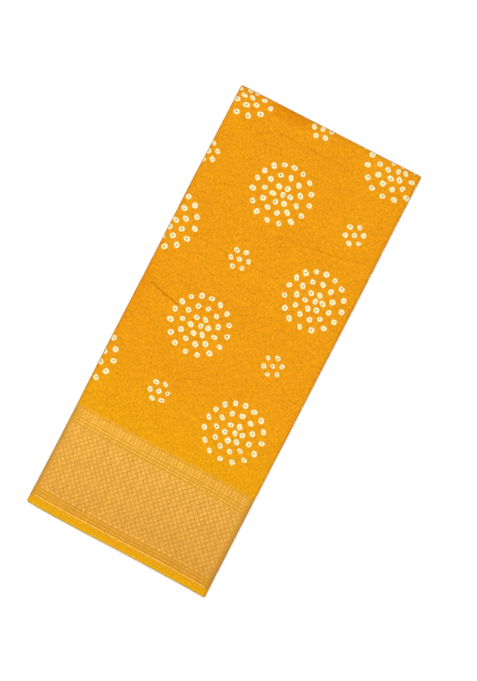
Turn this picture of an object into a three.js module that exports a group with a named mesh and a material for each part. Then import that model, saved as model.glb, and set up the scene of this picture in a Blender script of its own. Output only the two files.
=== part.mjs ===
import * as THREE from 'three';

// A printed silk saree, folded flat as it lies on a shop's shelf. It is one long cloth
// with a woven gold border. The cloth is folded in half across its width, so that both
// selvages meet at the front, and the doubled cloth then lies back and forth in runs.
// X runs across the pack from side fold to side fold, Y from the selvages to the half
// fold, and Z up from the face that the pack rests on. Lengths are in millimetres and
// angles in radians.

// Driving dimensions
const PACK_WIDTH = 247;
const PACK_LENGTH = 575;
const CLOTH_THICKNESS = 1;
const LAYER_GAP = 0.4;

// The two cut ends of the cloth lie inside the pack, this far short of its right side.
const TUCKED_END_SHORT_BY = 7;
const INNER_END_SHORT_BY = 13;

// The runs of the doubled cloth, in their order along it: the tucked-in end, the outer
// face, and then the rest downwards. Depth counts them from the outer face. Side is
// where a run ends, -1 left and 1 right, and sideInset is how far its fold there stays
// inside the outline. The other insets say how far its half fold stays inside the back
// edge, and its two selvages inside the front edge. The first selvage shows on top.
const RUNS = [
  { depth: 1, side: -1, sideInset: 0.0, foldInset: 1.6, firstSelvage: 2.1, secondSelvage: 2.6 },
  { depth: 0, side: 1, sideInset: 0.0, foldInset: 0.0, firstSelvage: 0.0, secondSelvage: 1.1 },
  { depth: 2, side: -1, sideInset: 0.9, foldInset: 0.7, firstSelvage: 1.3, secondSelvage: 3.4 },
  { depth: 3, side: 1, sideInset: 1.2, foldInset: 1.8, firstSelvage: 3.0, secondSelvage: 1.8 },
  { depth: 4, side: -1, sideInset: 0.4, foldInset: 0.5, firstSelvage: 1.6, secondSelvage: 3.1 },
  { depth: 5, side: 1, sideInset: 0.0, foldInset: 1.2, firstSelvage: 2.7, secondSelvage: 2.2 },
];

// How far each side of the outline strays outwards, at places along the pack.
const SIDE_STRAYS = [
  { y: -287, left: 0.8, right: -0.7 },
  { y: -205, left: -0.4, right: -1.1 },
  { y: -45, left: 0.3, right: -0.1 },
  { y: 287, left: -0.1, right: 0.2 },
];

// The front edge runs back towards the left corner and forward towards the right one.
const FRONT_SLANT = 0.9;
const FRONT_CURL = 2.4;

// The half fold falls back a little at the left corner.
const FOLD_CORNER_DROP = 1.1;
const FOLD_CORNER_WIDTH = 16;

// Height of the pack, as a share of its nominal height: pressed flat at the selvages
// and springy at the half folds.
const FRONT_HEIGHT = 0.93;
const FOLD_HEIGHT = 1.06;

// The upper runs sink over the folds beneath them, along both sides.
const LEFT_SINK = 0.08;
const LEFT_SINK_WIDTH = 6;
const RIGHT_SINK = 0.13;
const RIGHT_SINK_WIDTH = 11;

// Broad swells of the outer face, as shares of the height.
const SWELL = 0.016;
const SWELLS_ACROSS = 1.3;
const SWELLS_ALONG = 2.4;

// Fineness of the mesh. The steps across a run crowd towards its two folds.
const STEPS_ACROSS = [0, 0.02, 0.05, 0.16, 0.38, 0.62, 0.84, 0.95, 0.98, 1];
const STEPS_ALONG = 8;
const SIDE_FOLD_STEPS = 6;
const HALF_FOLD_STEPS = 4;

const PITCH = CLOTH_THICKNESS + LAYER_GAP;
const RUN_PITCH = 2 * PITCH;
const HALF_FOLD_RADIUS = PITCH / 2;
const DOUBLED_HALF_THICKNESS = HALF_FOLD_RADIUS + CLOTH_THICKNESS / 2;
const HALF_WIDTH = PACK_WIDTH / 2;
const FRONT_Y = -PACK_LENGTH / 2;
const HALF_FOLD_Y = PACK_LENGTH / 2 - DOUBLED_HALF_THICKNESS;
const LOWEST_RUN_Z = DOUBLED_HALF_THICKNESS;

// The middle height of a run of doubled cloth.
function runZ(run) {
  return LOWEST_RUN_Z + (RUNS.length - 1 - run.depth) * RUN_PITCH;
}

// One place on the line that the doubled cloth follows: x, z, the unit normal on the
// side of the first selvage, and the insets there.
function linePoint(x, z, normalX, normalZ, insets) {
  return { ...insets, x, z, normalX, normalZ };
}

function flatRun(run, startX, endX) {
  return STEPS_ACROSS.map((share) => {
    const x = THREE.MathUtils.lerp(startX, endX, share);
    return linePoint(x, runZ(run), 0, run.side, run);
  });
}

// A run's insets, part of the way to those of the next run.
function mixedInsets(run, next, share) {
  const mix = (name) => THREE.MathUtils.lerp(run[name], next[name], share);
  return {
    foldInset: mix('foldInset'),
    firstSelvage: mix('firstSelvage'),
    secondSelvage: mix('secondSelvage'),
  };
}

// The round turn from one run to the next, without its two ends.
function sideFold(run, next, centreX) {
  const rise = (runZ(run) - runZ(next)) / 2;
  const centreZ = (runZ(run) + runZ(next)) / 2;
  const firstSelvageOutside = Math.sign(run.side * rise);
  const points = [];
  for (let step = 1; step < SIDE_FOLD_STEPS; step += 1) {
    const share = step / SIDE_FOLD_STEPS;
    const outX = run.side * Math.sin(Math.PI * share);
    const outZ = Math.sign(rise) * Math.cos(Math.PI * share);
    const x = centreX + Math.abs(rise) * outX;
    const z = centreZ + Math.abs(rise) * outZ;
    const insets = mixedInsets(run, next, share);
    points.push(linePoint(x, z, firstSelvageOutside * outX, firstSelvageOutside * outZ, insets));
  }
  return points;
}

// The back-and-forth line of the doubled cloth, seen along Y.
function doubledClothLine() {
  const line = [];
  let startX = HALF_WIDTH - TUCKED_END_SHORT_BY;
  RUNS.forEach((run, index) => {
    const next = RUNS[index + 1];
    if (!next) {
      line.push(...flatRun(run, startX, HALF_WIDTH - INNER_END_SHORT_BY));
      return;
    }
    const foldX = HALF_WIDTH - DOUBLED_HALF_THICKNESS - run.sideInset;
    const reach = Math.abs(runZ(run) - runZ(next)) / 2;
    const centreX = run.side * (foldX - reach);
    line.push(...flatRun(run, startX, centreX));
    line.push(...sideFold(run, next, centreX));
    startX = centreX;
  });
  return line;
}

// The places along the doubled cloth's own section, seen along X: from the first
// selvage back to the half fold, round it, and forward to the second selvage.
function halfFoldStations() {
  const stations = [];
  for (let step = 0; step < STEPS_ALONG; step += 1) {
    stations.push({ selvage: 'firstSelvage', share: step / STEPS_ALONG, angle: Math.PI / 2 });
  }
  for (let step = 0; step <= HALF_FOLD_STEPS; step += 1) {
    const angle = Math.PI * (0.5 - step / HALF_FOLD_STEPS);
    stations.push({ selvage: 'firstSelvage', share: 1, angle });
  }
  for (let step = STEPS_ALONG - 1; step >= 0; step -= 1) {
    stations.push({ selvage: 'secondSelvage', share: step / STEPS_ALONG, angle: -Math.PI / 2 });
  }
  return stations;
}

// The closed outline of that section with the cloth's thickness: along its printed side
// and back along its plain side. Back and out are measured from the half fold's centre.
function doubledClothOutline() {
  const stations = halfFoldStations();
  const atRadius = (station, radius) => ({
    ...station,
    back: radius * Math.cos(station.angle),
    out: radius * Math.sin(station.angle),
  });
  const half = CLOTH_THICKNESS / 2;
  const printed = stations.map((station) => atRadius(station, HALF_FOLD_RADIUS + half));
  const plain = stations.map((station) => atRadius(station, HALF_FOLD_RADIUS - half));
  return [...printed, ...plain.reverse()];
}

function sideStray(side, y) {
  const last = SIDE_STRAYS.length - 1;
  const upper = SIDE_STRAYS.findIndex((row) => row.y > y);
  if (upper === 0) {
    return SIDE_STRAYS[0][side];
  }
  if (upper < 0) {
    return SIDE_STRAYS[last][side];
  }
  const before = SIDE_STRAYS[upper - 1];
  const after = SIDE_STRAYS[upper];
  const share = THREE.MathUtils.smoothstep(y, before.y, after.y);
  return THREE.MathUtils.lerp(before[side], after[side], share);
}

// How much the upper layers sink at a distance in from one side.
function sink(distance, depth, width) {
  const nearness = THREE.MathUtils.clamp(1 - distance / width, 0, 1);
  return depth * nearness ** 2;
}

function heightShare(x, y) {
  const along = (y - FRONT_Y) / PACK_LENGTH;
  const slope = THREE.MathUtils.lerp(FRONT_HEIGHT, FOLD_HEIGHT, along);
  const across = Math.sin(SWELLS_ACROSS * Math.PI * x / HALF_WIDTH);
  const swell = SWELL * across * Math.cos(SWELLS_ALONG * Math.PI * along);
  const left = sink(HALF_WIDTH + x, LEFT_SINK, LEFT_SINK_WIDTH);
  const right = sink(HALF_WIDTH - x, RIGHT_SINK, RIGHT_SINK_WIDTH);
  return slope + swell - left - right;
}

// The true place of a point of the evenly folded pack, as the soft cloth lies.
function settle(x, y, z) {
  const across = x / HALF_WIDTH;
  const along = (y - FRONT_Y) / PACK_LENGTH;
  const stray = sideStray(x < 0 ? 'left' : 'right', y);
  const slant = (FRONT_SLANT * across + FRONT_CURL * across ** 3) * (1 - along);
  const corner = sink(HALF_WIDTH + x, FOLD_CORNER_DROP, FOLD_CORNER_WIDTH) * along;
  const settledX = x + stray * across * Math.sign(across);
  return [settledX, y - slant - corner, z * heightShare(x, y)];
}

function packPositions(line, outline) {
  const positions = [];
  for (const point of line) {
    const foldY = HALF_FOLD_Y - point.foldInset;
    for (const place of outline) {
      const selvageY = FRONT_Y + point[place.selvage];
      const x = point.x + point.normalX * place.out;
      const y = THREE.MathUtils.lerp(selvageY, foldY, place.share) + place.back;
      const z = point.z + point.normalZ * place.out;
      positions.push(...settle(x, y, z));
    }
  }
  return positions;
}

// Faces round the outline between neighbouring points of the line, and a narrow face
// between the printed and the plain side all along each cut end.
function packFaces(lineSize, outlineSize) {
  const faces = [];
  const quad = (a, b, c, d) => faces.push(a, b, c, a, c, d);
  for (let point = 0; point < lineSize - 1; point += 1) {
    const here = point * outlineSize;
    const there = here + outlineSize;
    for (let index = 0; index < outlineSize; index += 1) {
      const next = (index + 1) % outlineSize;
      quad(here + index, there + index, there + next, here + next);
    }
  }
  const lastPoint = (lineSize - 1) * outlineSize;
  for (let index = 0; index < outlineSize / 2 - 1; index += 1) {
    const opposite = outlineSize - 1 - index;
    quad(index, index + 1, opposite - 1, opposite);
    const last = lastPoint + index;
    const lastOpposite = lastPoint + opposite;
    quad(last, lastOpposite, lastOpposite - 1, last + 1);
  }
  return faces;
}

function foldedClothGeometry() {
  const line = doubledClothLine();
  const outline = doubledClothOutline();
  const geometry = new THREE.BufferGeometry();
  const positions = new THREE.Float32BufferAttribute(packPositions(line, outline), 3);
  geometry.setAttribute('position', positions);
  geometry.setIndex(packFaces(line.length, outline.length));
  geometry.computeBoundingBox();
  const centre = geometry.boundingBox.getCenter(new THREE.Vector3());
  geometry.translate(-centre.x, -centre.y, 0);
  geometry.computeVertexNormals();
  return geometry;
}

const silk = new THREE.MeshStandardMaterial({ color: 0xef9c14, roughness: 0.7, metalness: 0 });

const cloth = new THREE.Mesh(foldedClothGeometry(), silk);
cloth.name = 'saree';

const saree = new THREE.Group();
saree.add(cloth);

export default saree;
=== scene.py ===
"""The folded printed silk saree at true thinness, with its print, its gold border and a plain studio."""
import math

import bpy
import numpy as np
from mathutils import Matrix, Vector


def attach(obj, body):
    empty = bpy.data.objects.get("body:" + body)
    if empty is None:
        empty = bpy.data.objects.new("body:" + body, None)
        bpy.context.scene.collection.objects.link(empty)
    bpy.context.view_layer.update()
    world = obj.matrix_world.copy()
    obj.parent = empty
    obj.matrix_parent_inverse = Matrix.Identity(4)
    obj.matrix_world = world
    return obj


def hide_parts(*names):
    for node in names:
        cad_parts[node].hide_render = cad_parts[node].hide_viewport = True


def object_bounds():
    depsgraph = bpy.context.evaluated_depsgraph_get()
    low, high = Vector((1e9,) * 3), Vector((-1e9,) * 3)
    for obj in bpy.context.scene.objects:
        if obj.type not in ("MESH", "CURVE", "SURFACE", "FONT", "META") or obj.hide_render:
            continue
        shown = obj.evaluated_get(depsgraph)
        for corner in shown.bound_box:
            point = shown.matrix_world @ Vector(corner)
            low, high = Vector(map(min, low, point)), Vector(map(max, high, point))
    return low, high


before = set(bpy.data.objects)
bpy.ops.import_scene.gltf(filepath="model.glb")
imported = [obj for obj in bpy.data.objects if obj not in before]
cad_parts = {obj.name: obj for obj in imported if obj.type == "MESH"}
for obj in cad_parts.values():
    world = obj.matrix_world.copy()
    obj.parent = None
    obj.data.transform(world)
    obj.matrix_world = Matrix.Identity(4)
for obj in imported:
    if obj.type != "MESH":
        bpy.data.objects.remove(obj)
cad_low, cad_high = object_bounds()

# Sizes are in millimetres, and angles in degrees, unless a name says otherwise. X runs
# across the pack, Y from the selvages to the half fold, and Z up, as in the solids.
MM = 0.001
rng = np.random.default_rng(26)

# The cloth, and the flat pack that it is folded into
CLOTH_WIDTH = 1150
CLOTH_THICKNESS = 0.2
PACK_WIDTH = 247.6
PACK_LENGTH = CLOTH_WIDTH / 2
PACK_HEIGHT = 16.4
RUN_COUNT = 26

# The doubled cloth: a gap between its two layers, and the mean radius of its half fold
INNER_GAP = 0.1
HALF_FOLD_RADIUS = (CLOTH_THICKNESS + INNER_GAP) / 2
DOUBLED_THICKNESS = 2 * CLOTH_THICKNESS + INNER_GAP

# From the outline's middle: its right side, its front, and where the half fold begins
HALF_WIDTH = PACK_WIDTH / 2
FRONT_Y = -PACK_LENGTH / 2
HALF_FOLD_Y = PACK_LENGTH / 2 - DOUBLED_THICKNESS / 2

# The two cut ends stop this far short of the pack's right side: one beneath the outer
# face, and one in the lowest run.
TUCKED_END_SHORT_BY = 7
LOWEST_END_SHORT_BY = 13

# The gaps between the runs: the least looseness of one, and the power that makes most
# gaps small and a few large
LEAST_LOOSENESS = 0.15
LOOSENESS_POWER = 5

# The uppermost runs step in from the outline, the outer one most. Below them, each
# edge of a run stays inside the outline by its own distance, up to the one given here:
# its side fold, its half fold, and the first and second selvage.
SHOULDER = 1.3
SHOULDER_RUNS = 6
MOST_INSET = {"side": 1.6, "fold": 2.0, "first": 3.2, "second": 3.2}

# How far each edge of a run wanders in and out along its length. The wander of a side
# fades towards the middle of the pack.
EDGE_WANDER = 0.35
OUTER_WANDER_SHARE = 0.35
WANDER_LENGTHS = (90, 420)
WANDER_WAVES = 3
SIDE_FADE_POWER = 6

# How far each side of the outline strays outwards, at places along the pack
STRAY_Y = (-287, -205, -45, 287)
STRAY_LEFT = (1.0, 0.15, 0.4, -0.1)
STRAY_RIGHT = (-0.7, -0.7, -0.1, 0.2)

# The front edge runs back towards the left corner and forward towards the right one,
# the threads behind it slant a little more, and the half fold falls back at the left corner.
FRONT_SLANT = 0.9
FRONT_CURL = 2.4
THREAD_SLANT = 1.3
FOLD_CORNER_BACK = 0.4
FOLD_CORNER_WIDTH = 16

# Height of the pack, as a share of its nominal height
FRONT_HEIGHT = 0.93
FOLD_HEIGHT = 1.06
SWELL = 0.016
SWELLS_ACROSS = 1.3
SWELLS_ALONG = 2.4

# The pack is rounded along its edges: the upper runs sink by a share of the height,
# within a distance from each edge.
LEFT_SINK = (0.2, 7.0)
RIGHT_SINK = (0.2, 7.5)
FOLD_SINK = (0.22, 7.0)
FRONT_SINK = (0.06, 4.0)
ROUNDING_POWER = 2.5

# The left corner of the half fold is rounder still.
CORNER_SINK = (0.14, 16.0)
CORNER_REACH = 40

# The dent that the half folds make near the left corner: its middle, reach and depth
DENT_X = -50
DENT_HALF_WIDTH = 34
DENT_REACH = 12
DENT_DEPTH = 0.12

# The outer face lies a little over the runs beneath it, except near its edges, and has
# low swells in several directions.
LOFT = 0.55
LOFT_EDGE = 14
FACE_SWELL = 0.16
FACE_SWELL_LENGTHS = (70, 260)
FACE_SWELL_BEARINGS = (15, 75, 130, 170)

# The main creases of the outer face: points in order, depth, half the width of the
# soft trough, and how sharp and dark its line is, the darkness being painted shade.
# A negative depth is a ridge.
CREASES = [
    {
        "points": [(-108.5, 20.9), (-96.4, 17), (-81.7, 14), (-71, 11.8)],
        "depth": 0.34, "reach": 2.6, "line": 1.0,
    },
    {"points": [(-118, 12.5), (-108.5, 20.9)], "depth": 0.2, "reach": 2.8, "line": 0.3},
    {"points": [(-71, 11.8), (-52, 8.5)], "depth": 0.18, "reach": 3.0, "line": 0.35},
    {"points": [(110.4, 162.1), (67.7, 152.3), (0.6, 141.4)], "depth": 0.26, "reach": 3.4, "line": 0.35},
    {"points": [(-88.4, 97), (-30, 95), (25, 96.2)], "depth": 0.2, "reach": 3.6, "line": 0.25},
    {"points": [(-60.4, 257), (-20, 255), (31.1, 256)], "depth": 0.22, "reach": 3.4, "line": 0.35},
    {"points": [(-121.4, 163.3), (-78.7, 170.6)], "depth": 0.16, "reach": 3.6, "line": 0.2},
    {"points": [(-119, 24), (-96, 30), (-60, 27)], "depth": -0.16, "reach": 6.0, "line": 0},
]
# The crease lines: their soft edge, how far their painted shade darkens the colour, and their bump
CREASE_LINE_EDGE = (0.1, 1.7)
CREASE_SHADE_DARKNESS = 0.7
CREASE_RELIEF = 0.25

# Places along a run and along a leg, as distances in from its ends, and the finer step
# of the outer face
RUN_STEPS = (0, 2, 6, 14, 36, 80)
OUTER_RUN_STEPS = (0, 0.7, 1.5, 2.6, 4.2, 6.4)
SELVAGE_STEPS = (0, 3, 10, 30, 80, 150, 215)
FOLD_STEPS = (0, 2, 6, 14, 30, 70, 130, 200)
OUTER_FOLD_STEPS = (0.7, 1.4, 2.6, 4.2)
FACE_STEP = 2.5
STEP_SLACK = 0.01
SIDE_FOLD_STEPS = 6
HALF_FOLD_STEPS = 4
SHARP_ANGLE = 50

# The map for baked pictures, as shares of its width: the tucked-in run, the outer one with
# its folds, the hidden ones, the lowest one, and a gap before the cloth's plain side. Then
# the outer leg's share of its height, and how far past each side the outer run's folds go.
BAKE_TUCKED = 0.02
BAKE_OUTER = 0.42
BAKE_HIDDEN = 0.27
BAKE_LOWEST = 0.22
BAKE_GAP = 0.01
BAKE_OUTER_LEG = 0.68
BAKE_FOLD = 4

# The printed repeat: where it starts, and its two steps. Its rows slant on the outer face
# and run parallel to the selvages in the rest of the cloth.
REPEAT_START = (-12.30, 284.02)
REPEAT_ACROSS = (103.23, -3.72)
REPEAT_ALONG = (-7.41, -93.86)

# How far the print has drifted on the outer face, to the right and towards the half fold:
# an even part, and parts that grow with the place across, with the place along, with
# across squared, with across times along, and with along squared.
DRIFT_REACH = (120, 290)
DRIFT_RIGHT = (-0.77, -0.29, -1.54, -0.02, -0.64, 5.07)
DRIFT_UP = (-0.33, -0.33, 1.13, 1.53, -1.49, 0)

# The print looks shorter where the fold's left corner bends down: how far in, by how
# much, and where that fades out along the fold, from the left side.
PRINT_BENT_DOWN = 16.5
PRINT_BEND = 0.4
PRINT_BEND_FADE = (22, 55)

# Large rosettes and small motifs take turns along both steps of the repeat, up to the
# last row before each border.
LAST_ROW = 4
LARGE_REACH = 43
SMALL_REACH = 17

# The rings of a motif from its middle dot outwards: radius, dots, the number that they
# count from, and turn. A rosette's rings lie a little to the right and down, and its outer
# one is bunched on one side. A small motif has only the middle dot and the inner ring,
# which is turned otherwise in every other row.
RING_RADII = (0.0, 11.3, 22.9, 36.2)
RING_DOTS = (1, 6, 11, 16)
RING_STARTS = (0.0, 31.0, 62.0, 93.0)
RING_PHASES = (0.0, 46.0, 11.0, 23.2)
RING_RIGHT = (3.2, 1.6, 0.8, 0.8)
RING_DOWN = (0.0, 1.2, 0.2, 0.0)
SMALL_PHASES = (36.0, 48.0)
OUTER_RING_BUNCHING = 5.4
OUTER_RING_BUNCHED_AT = 160.0
DOT_STRAY = 0.7
DOT_STRAY_RADIANS = 0.02

# A dot is a rounded block with an uneven edge and a dark eye, whose edges run between two
# shares of their size. Its turn and its eye's darkness are given with how far they vary.
DOT_HALF_LENGTH = 3.55
DOT_HALF_WIDTH = 3.15
DOT_CORNERS = 2.6
DOT_EDGE = (0.86, 1.08)
SMALL_DOT_SIZE = 0.9
DOT_SIZE_SPREAD = 0.1
DOT_STRETCH_SPREAD = 0.14
DOT_TURN_RADIANS = (0.4, 0.75)
RAGGED_WAVES = 0.42
RAGGED_DEPTH = 0.3
EYE_RADIUS = 1.15
EYE_EDGE = (0.3, 1.6)
EYE_OFF_CENTRE = 0.5
EYE_DARKNESS = (0.65, 0.3)

# The border, as distances from the selvage
PLAIN_STRIP = 9.3
LOWER_LINES = (10.8, 15.1, 19.2)
LOWEST_LINE_ENDS = (11.8, 14.1)
FIELD_START = 22.0
FIELD_EDGE_LINE = (23.2,)
FIELD_END = 112.2
UPPER_LINES = (114.6, 118.8, 123.0)
COMB_STARTS = (124.0, 125.8)
COMB_ROW = 129.7
COMB_GROUND_ENDS = 131.7
COMB_END = 132.2
BODY_START = 135.4
LINE_WIDTH = 2.6
LINE_PITCH = 4.2

# How softly its parts begin and end. A line's edge runs between two shares of its width.
STRIP_SOFTNESS = 0.4
FIELD_SOFTNESS = 0.8
COMB_SOFTNESS = 3.2
BODY_SOFTNESS = 0.9
LINE_EDGE = (0.12, 0.75)

# The woven pattern of the border: its diamonds, bands and teeth, how far it leans, and how
# it stretches across the pack
DIAMOND_WIDTH = 7.36
DIAMOND_LENGTH = 7.77
DIAMOND_LEAN = 0.054
DIAMOND_EDGE = (0.1, 0.65)
BAND_PITCH = 12.2
BAND_UNEVENNESS = 0.07
TOOTH_PITCH = 4.6
TOOTH_EDGE = 0.6
STRETCH = 3.3

# How much gold each part of the border shows, and how much more where its diamonds, its
# teeth or its rows do. It is uneven where it shows, from none up to a share of gold.
FIELD_GOLD = (0.21, 0.58)
FIELD_EDGE_GOLD = 0.2
LOWER_GOLD_SHARE = (0.5, 0.2)
LOWEST_LINE_GOLD = 0.42
BETWEEN_LINES_GOLD = 0.2
UPPER_GOLD_SHARE = (0.4, 0.36)
COMB_GOLD = (0.46, 0.36, 0.12)
UNEVEN_FADE = (0.0, 0.3)

# Colours, as linear red, green and blue
MUSTARD = (0.622, 0.250, 0.0044)
DEEP_MUSTARD = (0.575, 0.209, 0.0040)
MUSTARD_BY_BORDER = (0.608, 0.260, 0.0034)
# Darkened mustard fills the dark patches; in the first it is painted shade.
DARKENED_MUSTARD = (0.575, 0.192, 0.0030)
# The crease orange is painted shade along the crease lines.
CREASE_SHADE_ORANGE = (0.35, 0.110, 0.0012)
CREAM = (0.72, 0.64, 0.37)
DOT_EYE_COLOUR = (0.17, 0.13, 0.045)
SELVAGE_YELLOW = (0.604, 0.276, 0.0036)
SELVAGE_EDGE = (0.614, 0.318, 0.0070)
LOWER_GOLD = (0.490, 0.250, 0.050)
UPPER_GOLD = (0.518, 0.288, 0.057)
LINE_GOLD = (0.506, 0.277, 0.038)
GOLD_GROUND = (0.512, 0.220, 0.0130)
LOW_GROUND = (0.550, 0.208, 0.0125)

# The body turns from mustard to deep mustard with the dye, and differs up to a distance
# from the border. It is darker in patches: middle, reach across and along, and share.
# The first patch is painted shade where the half fold dips near the left corner; the
# second is darker by the left side.
DYE_MIDDLE = 0.35
DYE_SPREAD = 0.6
BY_BORDER_REACH = 110.0
DARK_PATCHES = [
    {"at": (-50, 281), "reach": (34, 11), "share": 0.9},
    {"at": (-118, 20), "reach": (12, 40), "share": 0.25},
]
DARK_PATCH_EDGE = (0.2, 1.3)
SELVAGE_EDGE_FADE = (0.5, 5.0)

# The unevenness of the silk, as smooth noises: waves in a millimetre along the cloth and
# across it, detail, roughness and seed
NOISES = {
    "slubs_across": (0.13, 0.75, 3.0, 0.5, 1.0),
    "slubs_along": (0.8, 0.17, 3.0, 0.5, 2.0),
    "grain": (1.3, 1.3, 2.0, 0.7, 3.0),
    "dye": (0.02, 0.02, 2.0, 0.5, 4.0),
    "blotches": (0.4, 0.32, 2.0, 0.6, 6.0),
    "mottle": (0.05, 0.06, 2.0, 0.5, 8.0),
    "glints": (0.9, 0.9, 1.0, 0.5, 9.0),
}

# How strongly each noise shows in a colour's brightness, in the gold, and as a height
BODY_SHADE = {"slubs_across": 0.25, "slubs_along": 0.32, "blotches": 0.34, "mottle": 0.07, "grain": 0.45}
BORDER_SHADE = {"grain": 0.45, "glints": 0.2, "mottle": 0.12}
SELVAGE_SHADE = {"slubs_along": 0.2, "blotches": 0.25, "grain": 0.35, "glints": 0.12}
DOT_SHADE = {"grain": 0.05}
GOLD_UNEVENNESS = {"blotches": 0.45, "slubs_along": 0.25, "glints": 0.4}
SILK_RELIEF = {"slubs_across": 0.05, "slubs_along": 0.06, "grain": 0.05}

# The border and the selvage darken by a share for each millimetre to the right, and the
# border's ground lightens up its field.
BORDER_DARKENING = 0.0003
SELVAGE_DARKENING = 0.0002
GROUND_LIGHTENING = 0.07
GROUND_DARKNESS = 0.03
LOW_GROUND_DARKNESS = 0.03

# The surface of the silk and of its gold, with the threads as waves
THREAD_WAVE_RADIANS = 9.0
THREAD_RELIEF = 0.012
GOLD_RELIEF = 0.05
RELIEF_STRENGTH = 0.5
SILK_ROUGHNESS = 0.68
GOLD_SMOOTHNESS = 0.2
GOLD_METALLIC = 0.28
SILK_SPECULAR = 0.04
SILK_SPECULAR_TINT = (1.0, 0.76, 0.42)
SILK_SHEEN = 0.02
SILK_SHEEN_ROUGHNESS = 0.4
SILK_SHEEN_TINT = (1.0, 0.75, 0.4)

# The studio
FLOOR_SIZE = 8000
FLOOR_BELOW = 0.3
FLOOR_WHITE = (0.93, 0.93, 0.93)
FLOOR_ROUGHNESS = 0.9
FLOOR_SPECULAR = 0.1
WORLD_STRENGTH = 0.42
LAMP_SIZE = 1200
LAMP_PLACE = (-50, 100, 2300)
LAMP_WATTS = 56

# The camera looks straight down. The pack lies turned clockwise, and its middle is a
# little to the left of the picture's, both in pixels of the size given here.
PICTURE_LONG_SIDE = 681
PIXEL = 1.2172
PACK_TURN = 27.2
PACK_MIDDLE_OFF = (-14.8, 0.5)
CAMERA_DISTANCE = 3000
SENSOR = 36

# The mix node's own sockets for colours
COLOUR_MIX_INPUTS = (0, 6, 7)
COLOUR_MIX_OUTPUT = 2


def smooth_share(value, low, high):
    """From 0 at low to 1 at high, with a soft start and end."""
    share = np.clip((value - low) / (high - low), 0, 1)
    return share * share * (3 - 2 * share)


def wander(amplitude, lengths):
    """A smooth irregular line: its offset at any distance along it."""
    turns = 2 * math.pi / rng.uniform(*lengths, WANDER_WAVES)
    phases = rng.uniform(0, 2 * math.pi, WANDER_WAVES)
    share = math.sqrt(1 / WANDER_WAVES)
    return lambda distance: amplitude * sum(
        share * np.sin(turn * distance + phase) for turn, phase in zip(turns, phases)
    )


def run_heights():
    """Height of the middle of each run, by its depth below the outer face."""
    looseness = LEAST_LOOSENESS + rng.random(RUN_COUNT - 1) ** LOOSENESS_POWER
    spare = PACK_HEIGHT - RUN_COUNT * DOUBLED_THICKNESS
    gaps = looseness * spare / looseness.sum()
    steps = np.cumsum(gaps + DOUBLED_THICKNESS)
    return (DOUBLED_THICKNESS / 2 + np.append(0, steps))[::-1]


def inset(depth, most):
    """How far an edge of a run stays inside the outline."""
    under_shoulder = min(1, depth / SHOULDER_RUNS)
    return SHOULDER * (1 - under_shoulder) ** 2 + rng.uniform(0, most) * under_shoulder


def plan_runs():
    """The runs in their order along the cloth: the tucked-in end, the outer face, then downwards."""
    heights = run_heights()
    depths = [1, 0, *range(2, RUN_COUNT)]
    runs = []
    for order, depth in enumerate(depths):
        run = {"outer": depth == 0, "side": -1 if order % 2 == 0 else 1, "z": heights[depth]}
        side_depth = min(depths[order : order + 2])
        for edge, most in MOST_INSET.items():
            edge_depth = side_depth if edge == "side" else depth
            share = OUTER_WANDER_SHARE if edge_depth == 0 else 1
            run[edge + "_inset"] = inset(edge_depth, most)
            run[edge + "_wander"] = wander(EDGE_WANDER * share, WANDER_LENGTHS)
        runs.append(run)
    return runs


def spread(length, from_start, from_end):
    """Places from 0 to length, given as distances in from its two ends."""
    return np.array([*from_start, *(length - np.array(from_end))[::-1]])


def refine(places, step):
    """The same places with even ones between, at most a step apart."""
    finer = [places[:1]]
    for start, end in zip(places, places[1:]):
        count = max(1, math.ceil((end - start) / step - STEP_SLACK))
        finer.append(np.linspace(start, end, count + 1)[1:])
    return np.concatenate(finer)


def flat_places(start, end, outer):
    """Places across a run, from its start to its end."""
    length = abs(end - start)
    if outer:
        places = refine(spread(length, OUTER_RUN_STEPS, OUTER_RUN_STEPS), FACE_STEP)
    else:
        places = spread(length, RUN_STEPS, RUN_STEPS)
    return start + np.sign(end - start) * places


def side_fold(run, after, centre_x):
    """The round turn from one run to the next, without its two ends: x, z, normal and share."""
    reach = (run["z"] - after["z"]) / 2
    outwards = np.sign(run["side"] * reach)
    for step in range(1, SIDE_FOLD_STEPS):
        share = step / SIDE_FOLD_STEPS
        out_x = run["side"] * math.sin(math.pi * share)
        out_z = np.sign(reach) * math.cos(math.pi * share)
        x = centre_x + abs(reach) * out_x
        z = (run["z"] + after["z"]) / 2 + abs(reach) * out_z
        yield x, z, outwards * out_x, outwards * out_z, share


def doubled_cloth_line(runs):
    """Columns of the doubled cloth along its back-and-forth line, seen along Y."""
    line = []
    start = HALF_WIDTH - TUCKED_END_SHORT_BY
    side_wanders = {-1: runs[0]["side_wander"], 1: runs[1]["side_wander"]}
    for order, run in enumerate(runs):
        after = runs[order + 1] if order + 1 < len(runs) else None
        side_wanders = {**side_wanders, run["side"]: run["side_wander"]}
        if after is None:
            end = HALF_WIDTH - LOWEST_END_SHORT_BY
        else:
            reach = abs(run["z"] - after["z"]) / 2
            end = run["side"] * (HALF_WIDTH - DOUBLED_THICKNESS / 2 - run["side_inset"] - reach)
        shared = {"run": run, "after": run, "share": 0, "side_wanders": side_wanders}
        for x in flat_places(start, end, run["outer"]):
            place = {"x": x, "z": run["z"], "normal": (0, run["side"]), "fine": run["outer"]}
            line.append({**shared, **place})
        if after is not None:
            fine = run["outer"] or after["outer"]
            for x, z, normal_x, normal_z, share in side_fold(run, after, end):
                place = {"x": x, "z": z, "normal": (normal_x, normal_z), "fine": fine}
                line.append({**shared, **place, "after": after, "share": share})
        start = end
    return line


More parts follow.
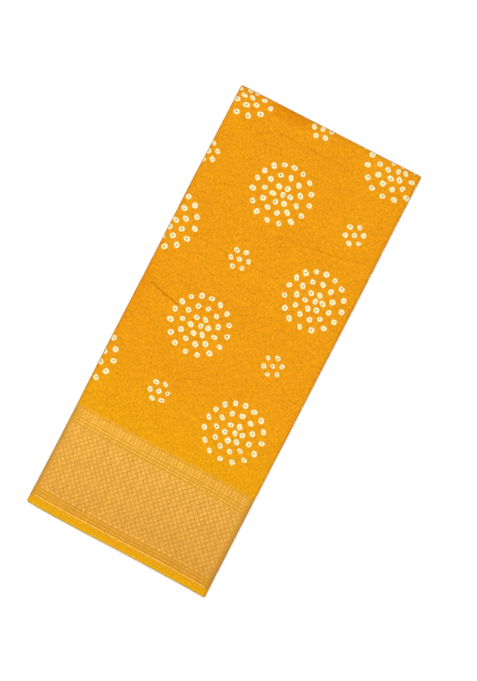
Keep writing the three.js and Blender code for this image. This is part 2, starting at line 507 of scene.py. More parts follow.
def leg_places(outer):
    """Places along a leg from its selvage to its half fold, from 0 to 1, and which the hidden runs share."""
    places = spread(PACK_LENGTH, SELVAGE_STEPS, FOLD_STEPS) / PACK_LENGTH
    if not outer:
        return places, list(range(len(places)))
    near_fold = 1 - np.array(OUTER_FOLD_STEPS) / PACK_LENGTH
    finer = refine(np.unique(np.append(places, near_fold)), FACE_STEP / PACK_LENGTH)
    return finer, [int(np.argmin(abs(finer - place))) for place in places]


def stations(outer):
    """Places along the doubled cloth's own section: leg, place on it, and angle round the half fold."""
    first, shared = leg_places(outer)
    second, _ = leg_places(False)
    bend = np.linspace(90, -90, HALF_FOLD_STEPS + 1)[1:-1]
    leg = np.concatenate([np.zeros(len(first)), np.full(len(bend), 0.5), np.ones(len(second))])
    place = np.concatenate([first, np.ones(len(bend)), second[::-1]])
    angle = np.concatenate([np.full(len(first), 90), bend, np.full(len(second), -90)])
    shared = shared + list(range(len(first), len(leg)))
    return {"leg": leg, "place": place, "angle": np.radians(angle), "shared": shared}


def mixed(column, name, *at):
    """A run's size, part of the way to that of the next run."""
    here, there = column["run"][name], column["after"][name]
    if at:
        here, there = here(*at), there(*at)
    return here + (there - here) * column["share"]


def column_points(column, section, offset):
    """The points of one column at an offset from the middle of the cloth, before the pack settles."""
    radius = HALF_FOLD_RADIUS + offset
    out = radius * np.sin(section["angle"])
    back = radius * np.cos(section["angle"])
    normal_x, normal_z = column["normal"]
    x = column["x"] + normal_x * out
    z = column["z"] + normal_z * out
    first = FRONT_Y + mixed(column, "first_inset") + mixed(column, "first_wander", column["x"])
    second = FRONT_Y + mixed(column, "second_inset") + mixed(column, "second_wander", column["x"])
    fold = HALF_FOLD_Y - mixed(column, "fold_inset") + mixed(column, "fold_wander", column["x"])
    selvage = np.where(section["leg"] < 0.5, first, second)
    y = selvage + (fold - selvage) * section["place"] + back
    across = x / HALF_WIDTH
    for side, side_wander in column["side_wanders"].items():
        x = x + side_wander(y) * np.clip(side * across, 0, None) ** SIDE_FADE_POWER
    return np.stack([x, y, z], axis=1)


def sink(distance, amount):
    """How much the upper runs sink at a distance in from an edge."""
    depth, width = amount
    return depth * np.clip(1 - distance / width, 0, 1) ** ROUNDING_POWER


def height_share(x, y):
    """Height of the settled pack, as a share of the nominal height."""
    along = (y - FRONT_Y) / PACK_LENGTH
    slope = FRONT_HEIGHT + (FOLD_HEIGHT - FRONT_HEIGHT) * along
    swell = SWELL * np.sin(SWELLS_ACROSS * math.pi * x / HALF_WIDTH) * np.cos(SWELLS_ALONG * math.pi * along)
    edges = sink(HALF_WIDTH + x, LEFT_SINK) + sink(HALF_WIDTH - x, RIGHT_SINK)
    edges = edges + sink(PACK_LENGTH / 2 - y, FOLD_SINK) + sink(y - FRONT_Y, FRONT_SINK)
    dent = DENT_DEPTH * np.exp(-(((x - DENT_X) / DENT_HALF_WIDTH) ** 4))
    dent = dent * smooth_share(y, PACK_LENGTH / 2 - DENT_REACH, PACK_LENGTH / 2)
    corner = np.exp(-(((HALF_WIDTH + x) / CORNER_REACH) ** 2)) * sink(PACK_LENGTH / 2 - y, CORNER_SINK)
    return slope + swell - edges - dent - corner


def settle(points):
    """The true places of points of the evenly folded pack, as the soft cloth lies."""
    x, y, z = points.T
    across = x / HALF_WIDTH
    along = (y - FRONT_Y) / PACK_LENGTH
    left = np.interp(y, STRAY_Y, STRAY_LEFT)
    right = np.interp(y, STRAY_Y, STRAY_RIGHT)
    stray = np.where(x < 0, -left, right) * across**2
    slant = (FRONT_SLANT * across + FRONT_CURL * across**3) * (1 - along)
    slant = slant + THREAD_SLANT * across * 4 * along * (1 - along)
    corner = sink(HALF_WIDTH + x, (FOLD_CORNER_BACK, FOLD_CORNER_WIDTH)) * along
    return np.stack([x + stray, y - slant - corner, z * height_share(x, y)], axis=1)


def distance_to_line(x, y, line):
    """Distance from each point to a line of straight stretches."""
    nearest = np.full(x.shape, np.inf)
    for (start_x, start_y), (end_x, end_y) in zip(line, line[1:]):
        run_x, run_y = end_x - start_x, end_y - start_y
        share = ((x - start_x) * run_x + (y - start_y) * run_y) / (run_x**2 + run_y**2)
        share = np.clip(share, 0, 1)
        gap = np.hypot(x - start_x - share * run_x, y - start_y - share * run_y)
        nearest = np.minimum(nearest, gap)
    return nearest


def face_relief(x, y):
    """How far the outer face lies above the runs beneath it: its loft, swells and creases."""
    to_side = HALF_WIDTH - abs(x)
    to_fold = PACK_LENGTH / 2 - y
    to_front = y - FRONT_Y
    away = smooth_share(to_side, 0, LOFT_EDGE) * smooth_share(to_fold, 0, LOFT_EDGE)
    away = away * smooth_share(to_front, -LOFT_EDGE / 2, LOFT_EDGE)
    swells = np.zeros(x.shape)
    for bearing in FACE_SWELL_BEARINGS:
        direction = math.radians(bearing)
        distance = x * math.cos(direction) + y * math.sin(direction)
        swells += wander(FACE_SWELL / 2, FACE_SWELL_LENGTHS)(distance)
    creases = np.zeros(x.shape)
    for crease in CREASES:
        near = distance_to_line(x, y, crease["points"]) / crease["reach"]
        creases -= crease["depth"] * np.exp(-(near**2))
    return away * (LOFT + swells + creases)


def print_drift(x, y):
    """How far the printed repeat has drifted from an even one, to the right and up."""
    across, along = x / DRIFT_REACH[0], y / DRIFT_REACH[1]
    growth = (1, across, along, across**2, across * along, along**2)
    right = sum(part * grown for part, grown in zip(DRIFT_RIGHT, growth))
    up = sum(part * grown for part, grown in zip(DRIFT_UP, growth))
    by_corner = 1 - smooth_share(x + HALF_WIDTH, *PRINT_BEND_FADE)
    bent_down = np.clip(y - (PACK_LENGTH / 2 - PRINT_BENT_DOWN), 0, PRINT_BENT_DOWN)
    return np.stack([right, up - PRINT_BEND * bent_down * by_corner], axis=1)


def places_along(line):
    """How far along the cloth each column lies, from the middle of the outer face."""
    x, z = [np.array([column[name] for column in line]) for name in ("x", "z")]
    along = np.append(0, np.cumsum(np.hypot(np.diff(x), np.diff(z))))
    outer = [index for index, column in enumerate(line) if column["run"]["outer"] and column["share"] == 0]
    middle = min(outer, key=lambda index: abs(x[index]))
    return along - along[middle] + x[middle]


def lay_points(line):
    """The evenly folded cloth: for each point its place and marks, and for each side its columns."""
    sections = {True: stations(True), False: stations(False)}
    leg_length = HALF_FOLD_Y - FRONT_Y
    cloth = {"place": [], "weave": [], "on_face": [], "near_face": [], "plain": []}
    printed_columns, plain_columns = [], []
    sides = ((CLOTH_THICKNESS / 2, printed_columns), (-CLOTH_THICKNESS / 2, plain_columns))
    count = 0
    for column, cloth_x in zip(line, places_along(line)):
        section = sections[column["fine"]]
        size = len(section["leg"])
        fine = np.full(size, column["fine"])
        bend = HALF_FOLD_RADIUS * (math.pi / 2 - section["angle"])
        cloth_y = leg_length * np.where(section["leg"] < 1, section["place"], 2 - section["place"]) + bend
        for offset, columns in sides:
            cloth["place"].append(column_points(column, section, offset))
            cloth["weave"].append(np.stack([np.full(size, cloth_x), cloth_y], axis=1))
            cloth["on_face"].append(fine & (section["leg"] == 0) & (column["share"] == 0))
            cloth["near_face"].append(fine)
            cloth["plain"].append(np.full(size, columns is plain_columns))
            columns.append((np.arange(count, count + size), section["shared"]))
            count += size
    cloth = {name: np.concatenate(parts) for name, parts in cloth.items()}
    return cloth, printed_columns, plain_columns


def print_places(cloth, settled):
    """Where each point lies in the printed repeat."""
    weave = cloth["weave"]
    shift = (settled - cloth["place"])[:, :2] - print_drift(settled[:, 0], settled[:, 1])
    pattern = weave + [0, FRONT_Y] + np.where(cloth["near_face"][:, None], shift, 0)
    beyond_face = weave[:, 0] - np.clip(weave[:, 0], -HALF_WIDTH, HALF_WIDTH)
    pattern[:, 1] += beyond_face * REPEAT_ACROSS[1] / REPEAT_ACROSS[0]
    return pattern


def strip(here, there):
    """Faces between two neighbouring columns, each given as its points' numbers and the shared ones."""
    here_points, here_shared = here
    there_points, there_shared = there
    if len(here_points) == len(there_points):
        rows = np.stack([here_points[:-1], there_points[:-1], there_points[1:], here_points[1:]], axis=1)
        return rows.tolist()
    faces = []
    for step in range(len(here_shared) - 1):
        near = here_points[here_shared[step] : here_shared[step + 1] + 1]
        far = there_points[there_shared[step] : there_shared[step + 1] + 1]
        half_near, half_far = (len(near) - 1) // 2, (len(far) - 1) // 2
        faces += [(near[0], far[i], far[i + 1]) for i in range(half_far)]
        faces += [(far[0], near[i + 1], near[i]) for i in range(half_near)]
        faces.append((near[half_near], far[half_far], far[half_far + 1], near[half_near + 1]))
        faces += [(near[-1], far[i], far[i + 1]) for i in range(half_far + 1, len(far) - 1)]
        faces += [(far[-1], near[i + 1], near[i]) for i in range(half_near + 1, len(near) - 1)]
    return faces


def sheet_faces(printed_columns, plain_columns):
    """The faces of the cloth's two sides, its two selvages and its two cut ends."""
    faces = []
    for index in range(len(printed_columns) - 1):
        printed, next_printed = printed_columns[index : index + 2]
        plain, next_plain = plain_columns[index : index + 2]
        faces += strip(printed, next_printed)
        faces += [face[::-1] for face in strip(plain, next_plain)]
        corners = [points for points, _ in (printed, plain, next_plain, next_printed)]
        faces.append([points[0] for points in corners])
        faces.append([corners[step][-1] for step in (0, 3, 2, 1)])
    for end, direction in ((0, 1), (-1, -1)):
        printed, _ = printed_columns[end]
        plain, _ = plain_columns[end]
        for step in range(len(printed) - 1):
            face = (printed[step], printed[step + 1], plain[step + 1], plain[step])
            faces.append(face[::direction])
    return faces


def build_cloth():
    """The folded cloth as one closed thin sheet, its cloth and print coordinates, and its plain side."""
    cloth, printed_columns, plain_columns = lay_points(doubled_cloth_line(plan_runs()))
    x, y, _ = cloth["place"].T
    settled = settle(cloth["place"])
    settled[:, 2] += np.where(cloth["on_face"], face_relief(x, y), 0)
    faces = sheet_faces(printed_columns, plain_columns)
    return settled, faces, cloth["weave"], print_places(cloth, settled), cloth["plain"]


def add_object(name, data):
    """A new object in the scene."""
    made = bpy.data.objects.new(name, data)
    bpy.context.scene.collection.objects.link(made)
    return made


def corner_points(mesh):
    """The number of the point at each corner of each face."""
    corners = np.empty(len(mesh.loops), dtype=np.int32)
    mesh.loops.foreach_get("vertex_index", corners)
    return corners


def add_map(mesh, name, places):
    """A coordinate map, with a place for each corner of each face."""
    layer = mesh.uv_layers.new(name=name)
    layer.data.foreach_set("uv", places.astype(np.float32).ravel())


def make_mesh(name, points, faces, maps):
    """A smooth shaded mesh object in metres, with named coordinate maps."""
    mesh = bpy.data.meshes.new(name)
    mesh.from_pydata((points * MM).tolist(), [], [tuple(map(int, face)) for face in faces])
    corners = corner_points(mesh)
    for map_name, values in maps.items():
        add_map(mesh, map_name, (values * MM)[corners])
    mesh.polygons.foreach_set("use_smooth", np.ones(len(mesh.polygons), dtype=bool))
    mesh.set_sharp_from_angle(angle=math.radians(SHARP_ANGLE))
    mesh.validate()
    return add_object(name, mesh)


def add_bake_map(mesh, weave, plain):
    """A coordinate map that fills one square without overlaps, most of it with what shows."""
    corners = corner_points(mesh)
    starts = np.empty(len(mesh.polygons), dtype=np.int32)
    mesh.polygons.foreach_get("loop_start", starts)
    sizes = np.diff(np.append(starts, len(corners)))
    on_plain_side = np.repeat(np.logical_and.reduceat(plain[corners], starts), sizes)
    along, from_first = weave[corners].T
    outer_end = HALF_WIDTH + BAKE_FOLD
    places = (along.min(), -outer_end, outer_end, along.max() - PACK_WIDTH, along.max())
    shares = np.cumsum([0, BAKE_TUCKED, BAKE_OUTER, BAKE_HIDDEN, BAKE_LOWEST])
    u = np.interp(along, places, shares)
    plain_start = shares[-1] + BAKE_GAP
    u = np.where(on_plain_side, plain_start + u / shares[-1] * (1 - plain_start), u)
    v = np.interp(from_first, (0, CLOTH_WIDTH / 2, CLOTH_WIDTH), (0, BAKE_OUTER_LEG, 1))
    add_map(mesh, "OFBake", np.stack([u, v], axis=1))


class Graph:
    """The nodes of one material, with short calls for what is used often."""

    def __init__(self, name):
        self.material = bpy.data.materials.new(name)
        self.material.use_nodes = True
        self.nodes = self.material.node_tree.nodes
        self.links = self.material.node_tree.links
        self.nodes.clear()

    def put(self, socket, value):
        """Links a socket to another node, or sets it to a number or a colour."""
        if isinstance(value, Field):
            value = value.socket
        if isinstance(value, bpy.types.NodeSocket):
            self.links.new(value, socket)
        elif socket.type == "RGBA":
            socket.default_value = (*value, 1)
        else:
            socket.default_value = value

    def node(self, kind, settings=None, **inputs):
        """A new node, with its inputs given by name."""
        made = self.nodes.new(kind)
        for key, value in (settings or {}).items():
            setattr(made, key, value)
        for key, value in inputs.items():
            self.put(made.inputs[key.replace("_", " ")], value)
        return made

    def math(self, operation, *values, clamp=False):
        """A sum, product or function of numbers and fields."""
        made = self.node("ShaderNodeMath", {"operation": operation, "use_clamp": clamp})
        for socket, value in zip(made.inputs, values):
            self.put(socket, value)
        return Field(self, made.outputs[0])

    def vector(self, x, y, z=0.0):
        """Three numbers or fields as one socket."""
        return self.node("ShaderNodeCombineXYZ", X=x, Y=y, Z=z).outputs[0]

    def vector_math(self, operation, *values, **inputs):
        """A node that works on vectors."""
        made = self.node("ShaderNodeVectorMath", {"operation": operation}, **inputs)
        for socket, value in zip(made.inputs, values):
            self.put(socket, value)
        return made

    def map(self, name):
        """The two coordinates of a map, in millimetres."""
        made = self.node("ShaderNodeUVMap", {"uv_map": name})
        parts = self.node("ShaderNodeSeparateXYZ", Vector=made.outputs[0])
        return Field(self, parts.outputs[0]) / MM, Field(self, parts.outputs[1]) / MM

    def noise(self, x, y, detail=2.0, roughness=0.5, seed=0.0):
        """Smooth noise about 0, from about -1 to 1."""
        made = self.node(
            "ShaderNodeTexNoise", {"noise_dimensions": "3D"},
            Vector=self.vector(x, y, seed), Scale=1.0, Detail=detail, Roughness=roughness,
        )
        return (Field(self, made.outputs[0]) - 0.5) * 2.0

    def scatter(self, x, y, seed):
        """An even random number from -1 to 1 for each place."""
        place = self.vector(x, y, seed)
        made = self.node("ShaderNodeTexWhiteNoise", {"noise_dimensions": "3D"}, Vector=place)
        return Field(self, made.outputs[0]) * 2.0 - 1.0

    def step(self, value, low, high):
        """From 0 at low to 1 at high, with a soft start and end."""
        made = self.node("ShaderNodeMapRange", {"interpolation_type": "SMOOTHSTEP"})
        for socket, number in zip(made.inputs, (value, low, high, 0.0, 1.0)):
            self.put(socket, number)
        return Field(self, made.outputs[0])

    def past(self, value, place, softness):
        """From 0 before a place to 1 past it."""
        return self.step(value, place - softness, place + softness)

    def mix(self, share, first, second):
        """A colour that turns from the first to the second with the share."""
        made = self.node("ShaderNodeMix", {"data_type": "RGBA", "clamp_factor": True})
        for index, value in zip(COLOUR_MIX_INPUTS, (share, first, second)):
            self.put(made.inputs[index], value)
        return made.outputs[COLOUR_MIX_OUTPUT]

    def brighter(self, colour, share):
        """A colour made brighter by a share, or darker by a negative one."""
        return self.vector_math("SCALE", colour, Scale=share + 1.0).outputs[0]

    def line_distance(self, x, y, line):
        """Distance to a line of straight stretches."""
        here = self.vector(x, y)
        nearest = None
        for start, end in zip(line, line[1:]):
            stretch = Vector((end[0] - start[0], end[1] - start[1], 0))
            offset = self.vector_math("SUBTRACT", here, (*start, 0))
            along = self.vector_math("DOT_PRODUCT", offset.outputs[0], stretch / stretch.length_squared)
            share = self.math("ADD", along.outputs["Value"], 0.0, clamp=True)
            foot = self.vector_math("SCALE", stretch, Scale=share)
            gap = self.vector_math("DISTANCE", offset.outputs[0], foot.outputs[0])
            distance = Field(self, gap.outputs["Value"])
            nearest = distance if nearest is None else self.math("MINIMUM", nearest, distance)
        return nearest

    def surface(self, **inputs):
        """The finished material, with one shader."""
        shader = self.node("ShaderNodeBsdfPrincipled", **inputs)
        self.node("ShaderNodeOutputMaterial", Surface=shader.outputs[0])
        return self.material


class Field:
    """A number that varies over the surface, for formulas."""

    def __init__(self, graph, socket):
        self.graph = graph
        self.socket = socket

    def __add__(self, other):
        return self.graph.math("ADD", self, other)

    def __radd__(self, other):
        return self.graph.math("ADD", other, self)

    def __sub__(self, other):
        return self.graph.math("SUBTRACT", self, other)

    def __rsub__(self, other):
        return self.graph.math("SUBTRACT", other, self)

    def __mul__(self, other):
        return self.graph.math("MULTIPLY", self, other)

    def __truediv__(self, other):
        return self.graph.math("DIVIDE", self, other)

    def __neg__(self):
        return self.graph.math("MULTIPLY", self, -1.0)

    def __abs__(self):
        return self.graph.math("ABSOLUTE", self)


def nearest_motif(graph, x, y):
    """The column and row of the nearest motif, and the way to the right and down from its middle."""
    (across_x, across_y), (along_x, along_y) = REPEAT_ACROSS, REPEAT_ALONG
    area = across_x * along_y - across_y * along_x
    from_x, from_y = x - REPEAT_START[0], y - REPEAT_START[1]
    steps_across = from_x * (along_y / area) - from_y * (along_x / area)
    steps_along = from_y * (across_x / area) - from_x * (across_y / area)
    column, row = graph.math("ROUND", steps_across), graph.math("ROUND", steps_along)
    part_across, part_along = steps_across - column, steps_along - row
    right = part_across * across_x + part_along * along_x
    down = -(part_across * across_y + part_along * along_y)
    return column, row, right, down


def nearest_dot(graph, motif, radius, large):
    """The number of the nearest dot in its motif, and the way to the right and down from its middle."""
    _, row, right, down = motif
    beyond = [
        graph.math("GREATER_THAN", radius, (inner + outer) / 2)
        for inner, outer in zip(RING_RADII, RING_RADII[1:])
    ]

    def pick(values):
        """The value of the ring that is nearest."""
        total = values[0]
        for passed, low, high in zip(beyond, values, values[1:]):
            total = passed * (high - low) + total
        return total

    dots = pick([float(number) for number in RING_DOTS])
    odd_row = graph.math("FLOORED_MODULO", row, 2.0)
    odd_phase, even_phase = [math.radians(phase) for phase in SMALL_PHASES]
    small_phase = odd_row * (odd_phase - even_phase) + even_phase
    large_phase = pick([math.radians(phase) for phase in RING_PHASES])
    phase = small_phase + (large_phase - small_phase) * large
    bearing = graph.math("ARCTAN2", down, right)
    bunching = beyond[-1] * math.radians(OUTER_RING_BUNCHING)
    bunched_at = math.radians(OUTER_RING_BUNCHED_AT)
    evened = bearing - bunching * graph.math("COSINE", bearing - bunched_at)
    spacing = graph.math("DIVIDE", 2 * math.pi, dots)
    number = graph.math("ROUND", (evened - phase) / spacing)
    dot_number = graph.math("FLOORED_MODULO", number, dots) + pick(RING_STARTS)

    even_angle = phase + number * spacing
    angle = even_angle + bunching * graph.math("COSINE", even_angle - bunched_at)
    angle = angle + graph.scatter(dot_number, large, 3.1) * DOT_STRAY_RADIANS
    distance = pick(RING_RADII) + graph.scatter(dot_number, large, 7.7) * beyond[0] * DOT_STRAY
    from_right = right - pick(RING_RIGHT) * large - distance * graph.math("COSINE", angle)
    from_down = down - pick(RING_DOWN) * large - distance * graph.math("SINE", angle)
    return dot_number, from_right, from_down


def printed_dots(graph, x, y):
    """How much of the resist print shows, and how much of a dot's dark eye, over the cloth."""
    motif = nearest_motif(graph, x, y)
    column, row, right, down = motif
    large = graph.math("FLOORED_MODULO", column + row, 2.0)
    radius = graph.math("SQRT", right * right + down * down)
    dot_number, from_right, from_down = nearest_dot(graph, motif, radius, large)

    def vary(by_column, by_row, seed):
        """A random number from -1 to 1 for each dot. The factors tell the draws apart."""
        return graph.scatter(dot_number, column * by_column + row * by_row, seed)

    turn = vary(3.0, 1.0, 11.3) * DOT_TURN_RADIANS[1] + DOT_TURN_RADIANS[0]
    cosine, sine = graph.math("COSINE", turn), graph.math("SINE", turn)
    forwards = from_right * cosine + from_down * sine
    sideways = from_down * cosine - from_right * sine
    size = vary(1.0, 5.0, 17.9) * DOT_SIZE_SPREAD + large * (1.0 - SMALL_DOT_SIZE) + SMALL_DOT_SIZE
    stretch = 1.0 + vary(7.0, 1.0, 23.1) * DOT_STRETCH_SPREAD
    lengthwise = abs(forwards) / (size * stretch * DOT_HALF_LENGTH)
    crosswise = abs(sideways) * stretch / (size * DOT_HALF_WIDTH)
    bulge = graph.math("POWER", lengthwise, DOT_CORNERS) + graph.math("POWER", crosswise, DOT_CORNERS)
    shape = graph.math("POWER", bulge, 1 / DOT_CORNERS)
    ragged = graph.noise(x * RAGGED_WAVES, y * RAGGED_WAVES, seed=5.0) * RAGGED_DEPTH
    reach = large * (LARGE_REACH - SMALL_REACH) + SMALL_REACH
    inside = graph.math("LESS_THAN", radius, reach) * graph.math("LESS_THAN", abs(row), LAST_ROW + 0.5)
    dot = (1.0 - graph.step(shape + ragged, *DOT_EDGE)) * inside

    eye_forwards = forwards + vary(1.0, 9.0, 29.3) * EYE_OFF_CENTRE
    eye_sideways = sideways + vary(1.0, -4.0, 31.7) * EYE_OFF_CENTRE
    from_eye = graph.math("SQRT", eye_forwards * eye_forwards + eye_sideways * eye_sideways)
    darkness = vary(2.0, 1.0, 37.1) * EYE_DARKNESS[1] + EYE_DARKNESS[0]
    eye_edge = [EYE_RADIUS * share for share in EYE_EDGE]
    eye = (1.0 - graph.step(from_eye + ragged, *eye_edge)) * inside * darkness
    return dot, eye


def woven_lines(graph, distance, middles):
    """How much gold the lines of one group show."""
    lines = 0.0
    edge = [LINE_WIDTH * share for share in LINE_EDGE]
    for middle in middles:
        lines = (1.0 - graph.step(abs(distance - middle), *edge)) + lines
    return lines


def blend(noises, strengths):
    """The sum of some noises, each at its own strength."""
    return sum(noises[name] * strength for name, strength in strengths.items())


def crease_lines(graph, x, y):
    """How much the line of a crease shows, as painted shade in the colour and as a bump."""
    shown = 0.0
    for crease in CREASES:
        if crease["line"]:
            near = graph.line_distance(x, y, crease["points"])
            shown = (1.0 - graph.step(near, *CREASE_LINE_EDGE)) * crease["line"] + shown
    return shown


def body_colour(graph, noises, x, y, distance):
    """The mustard of the body with its darker patches, the first of them painted shade, without its print
    and creases.
    """
    body = graph.mix(noises["dye"] * DYE_SPREAD + DYE_MIDDLE, MUSTARD, DEEP_MUSTARD)
    by_border = 1.0 - graph.step(distance, BODY_START, BODY_START + BY_BORDER_REACH)
    body = graph.mix(by_border, body, MUSTARD_BY_BORDER)
    # Darker patches: the first is painted shade where the half fold dips near the left corner.
    for patch in DARK_PATCHES:
        (at_x, at_y), (reach_x, reach_y) = patch["at"], patch["reach"]
        across, up = (x - at_x) / reach_x, (y - at_y) / reach_y
        share = (1.0 - graph.step(across * across + up * up, *DARK_PATCH_EDGE)) * patch["share"]
        body = graph.mix(share, body, DARKENED_MUSTARD)
    return graph.brighter(body, blend(noises, BODY_SHADE))


def border_weave(graph, noises, along, distance):
    """How much gold the border's weave shows, and where its field is."""
    stretched = graph.math("COSINE", along * (math.pi / PACK_WIDTH)) * STRETCH + along
    warp_phase = (stretched - distance * DIAMOND_LEAN) * (math.pi / DIAMOND_WIDTH)
    weft_phase = distance * (math.pi / DIAMOND_LENGTH)
    slope_up = abs(graph.math("SINE", warp_phase + weft_phase))
    slope_down = abs(graph.math("SINE", warp_phase - weft_phase))
    diamonds = graph.step(graph.math("MINIMUM", slope_up, slope_down), *DIAMOND_EDGE)
    teeth = graph.past(graph.math("SINE", stretched * (2 * math.pi / TOOTH_PITCH)), 0.0, TOOTH_EDGE)
    bands = graph.math("SINE", stretched * (2 * math.pi / BAND_PITCH))
    rows = graph.math("COSINE", (distance - COMB_ROW) * (2 * math.pi / LINE_PITCH))

    field = graph.past(distance, FIELD_START, FIELD_SOFTNESS)
    field = field * (1.0 - graph.past(distance, FIELD_END, FIELD_SOFTNESS))
    comb = graph.step(distance, *COMB_STARTS) * (1.0 - graph.past(distance, COMB_END, COMB_SOFTNESS))
    lower = woven_lines(graph, distance, LOWER_LINES)
    lowest = 1.0 - graph.step(distance, *LOWEST_LINE_ENDS)
    upper = woven_lines(graph, distance, UPPER_LINES)
    between_lines = graph.step(distance, FIELD_END, UPPER_LINES[0]) * (1.0 - comb)

    gold = field * (diamonds * FIELD_GOLD[1] + FIELD_GOLD[0])
    gold = gold + lower * (teeth * LOWER_GOLD_SHARE[1] + lowest * LOWEST_LINE_GOLD + LOWER_GOLD_SHARE[0])
    gold = gold + between_lines * BETWEEN_LINES_GOLD
    gold = gold + upper * (teeth * UPPER_GOLD_SHARE[1] + UPPER_GOLD_SHARE[0])
    gold = gold + woven_lines(graph, distance, FIELD_EDGE_LINE) * FIELD_EDGE_GOLD
    gold = gold + comb * (teeth * COMB_GOLD[1] + rows * COMB_GOLD[2] + COMB_GOLD[0])
    uneven = bands * BAND_UNEVENNESS + blend(noises, GOLD_UNEVENNESS)
    return gold + uneven * graph.step(gold, *UNEVEN_FADE), field


def border_colour(graph, shade, distance, body, gold_share, field):
    """The gold of the border over its ground, which turns into the body above the comb."""
    upwards = (distance - FIELD_START) / (FIELD_END - FIELD_START)
    gold = graph.mix(field, LINE_GOLD, graph.mix(upwards, LOWER_GOLD, UPPER_GOLD))
    low_down = 1.0 - graph.step(distance, PLAIN_STRIP, FIELD_START)
    ground = graph.mix(low_down, GOLD_GROUND, LOW_GROUND)
    ground = graph.mix(graph.step(distance, COMB_GROUND_ENDS, BODY_START), ground, body)
    lighter = upwards * GROUND_LIGHTENING - GROUND_DARKNESS - low_down * LOW_GROUND_DARKNESS
    return graph.mix(gold_share, graph.brighter(ground, shade + lighter), graph.brighter(gold, shade))


def silk_material():
    """Mustard slub silk with resist-printed dots and a woven gold border."""
    graph = Graph("printed_silk")
    along, from_first = graph.map("weave")
    distance = graph.math("MINIMUM", from_first, CLOTH_WIDTH - from_first)
    face_x = graph.math("MINIMUM", graph.math("MAXIMUM", along, -HALF_WIDTH), HALF_WIDTH)
    face_y = from_first + FRONT_Y
    noises = {
        name: graph.noise(along * waves_along, from_first * waves_across, detail, roughness, seed)
        for name, (waves_along, waves_across, detail, roughness, seed) in NOISES.items()
    }

    creases = crease_lines(graph, along, face_y)
    body = body_colour(graph, noises, along, face_y, distance)
    # Painted shade darkens the body along the crease lines.
    body = graph.mix(creases * CREASE_SHADE_DARKNESS, body, CREASE_SHADE_ORANGE)
    in_body = graph.past(distance, BODY_START, BODY_SOFTNESS)
    dot, eye = printed_dots(graph, *graph.map("print"))
    cream = graph.brighter(graph.mix(eye, CREAM, DOT_EYE_COLOUR), blend(noises, DOT_SHADE))
    printed = graph.mix(dot * in_body, body, cream)

    gold_share, field = border_weave(graph, noises, along, distance)
    border_shade = blend(noises, BORDER_SHADE) - face_x * BORDER_DARKENING
    woven = border_colour(graph, border_shade, distance, body, gold_share, field)
    in_border = graph.past(distance, PLAIN_STRIP, STRIP_SOFTNESS) * (1.0 - in_body)
    selvage = graph.mix(graph.step(distance, *SELVAGE_EDGE_FADE), SELVAGE_EDGE, SELVAGE_YELLOW)
    selvage = graph.brighter(selvage, blend(noises, SELVAGE_SHADE) - face_x * SELVAGE_DARKENING)
    colour = graph.mix(in_border, graph.mix(in_body, selvage, printed), woven)

    gold = gold_share * in_border
    threads = graph.math("SINE", along * THREAD_WAVE_RADIANS)
    threads = threads * graph.math("SINE", from_first * THREAD_WAVE_RADIANS)
    relief = blend(noises, SILK_RELIEF) + threads * THREAD_RELIEF + gold * GOLD_RELIEF
    relief = relief - creases * CREASE_RELIEF
    bump = graph.node("ShaderNodeBump", Height=relief, Strength=RELIEF_STRENGTH, Distance=MM)
    return graph.surface(
        Base_Color=colour,
        Normal=bump.outputs[0],
        Metallic=gold * GOLD_METALLIC,
        Roughness=SILK_ROUGHNESS - gold * GOLD_SMOOTHNESS,
        Specular_IOR_Level=SILK_SPECULAR,
        Specular_Tint=SILK_SPECULAR_TINT,
        Sheen_Weight=SILK_SHEEN,
        Sheen_Roughness=SILK_SHEEN_ROUGHNESS,
        Sheen_Tint=SILK_SHEEN_TINT,
    )


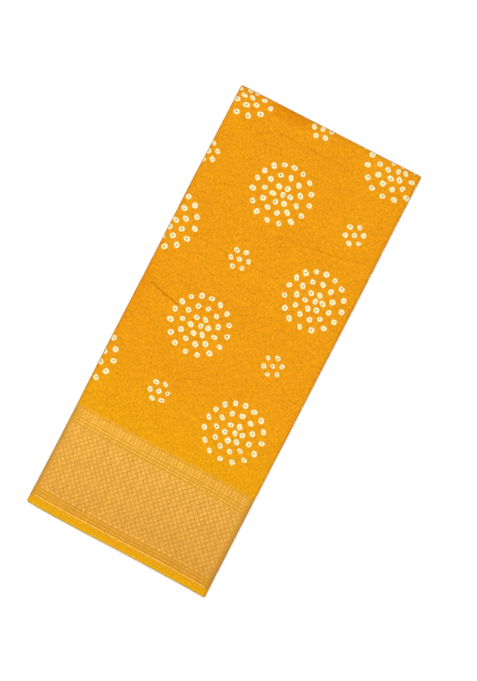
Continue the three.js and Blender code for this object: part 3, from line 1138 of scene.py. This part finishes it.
def studio_floor():
    """A plain pale floor."""
    half = FLOOR_SIZE / 2
    corners = [(-half, -half), (half, -half), (half, half), (-half, half)]
    mesh = bpy.data.meshes.new("floor")
    mesh.from_pydata([(x * MM, y * MM, -FLOOR_BELOW * MM) for x, y in corners], [], [(0, 1, 2, 3)])
    floor = add_object("floor", mesh)
    mesh.materials.append(Graph("floor_white").surface(
        Base_Color=FLOOR_WHITE, Roughness=FLOOR_ROUGHNESS, Specular_IOR_Level=FLOOR_SPECULAR
    ))


def studio_light():
    """Even light from all round, and one large soft lamp almost straight above."""
    world = bpy.data.worlds.new("studio")
    world.use_nodes = True
    background = world.node_tree.nodes["Background"]
    background.inputs["Color"].default_value = (1, 1, 1, 1)
    background.inputs["Strength"].default_value = WORLD_STRENGTH
    bpy.context.scene.world = world
    light = bpy.data.lights.new("soft_lamp", "AREA")
    light.shape = "DISK"
    light.size = LAMP_SIZE * MM
    light.energy = LAMP_WATTS
    lamp = add_object("soft_lamp", light)
    lamp.location = Vector(LAMP_PLACE) * MM
    lamp.rotation_euler = (-Vector(LAMP_PLACE)).to_track_quat("-Z", "Y").to_euler()
    lamp.visible_camera = False


def studio_camera(middle_x, middle_y):
    """The camera straight above, framing the pack's middle as the photograph does."""
    turn = math.radians(PACK_TURN)
    right, up = -PACK_MIDDLE_OFF[0] * PIXEL, -PACK_MIDDLE_OFF[1] * PIXEL
    x = right * math.cos(turn) - up * math.sin(turn) + middle_x
    y = right * math.sin(turn) + up * math.cos(turn) + middle_y
    lens = bpy.data.cameras.new("camera")
    lens.sensor_width = SENSOR
    lens.lens = SENSOR * CAMERA_DISTANCE / (PICTURE_LONG_SIDE * PIXEL)
    camera = add_object("camera", lens)
    camera.location = (x * MM, y * MM, (CAMERA_DISTANCE + PACK_HEIGHT) * MM)
    camera.rotation_euler = (0, 0, turn)
    bpy.context.scene.camera = camera


# The cloth, with its middle over the solid's
points, faces, weave_map, print_map, plain_points = build_cloth()
cad_centre = (np.array(cad_low) + np.array(cad_high)) / 2 / MM
cloth_centre = (points.min(axis=0) + points.max(axis=0)) / 2
pack_shift = np.array([*(cad_centre - cloth_centre)[:2], 0])
cloth = make_mesh("silk_cloth", points + pack_shift, faces, {"weave": weave_map, "print": print_map})
add_bake_map(cloth.data, weave_map, plain_points)
cloth.data.materials.append(silk_material())
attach(cloth, "root")
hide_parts("saree")

studio_floor()
studio_light()
studio_camera(*pack_shift[:2])
bpy.context.scene.view_settings.view_transform = "Standard"
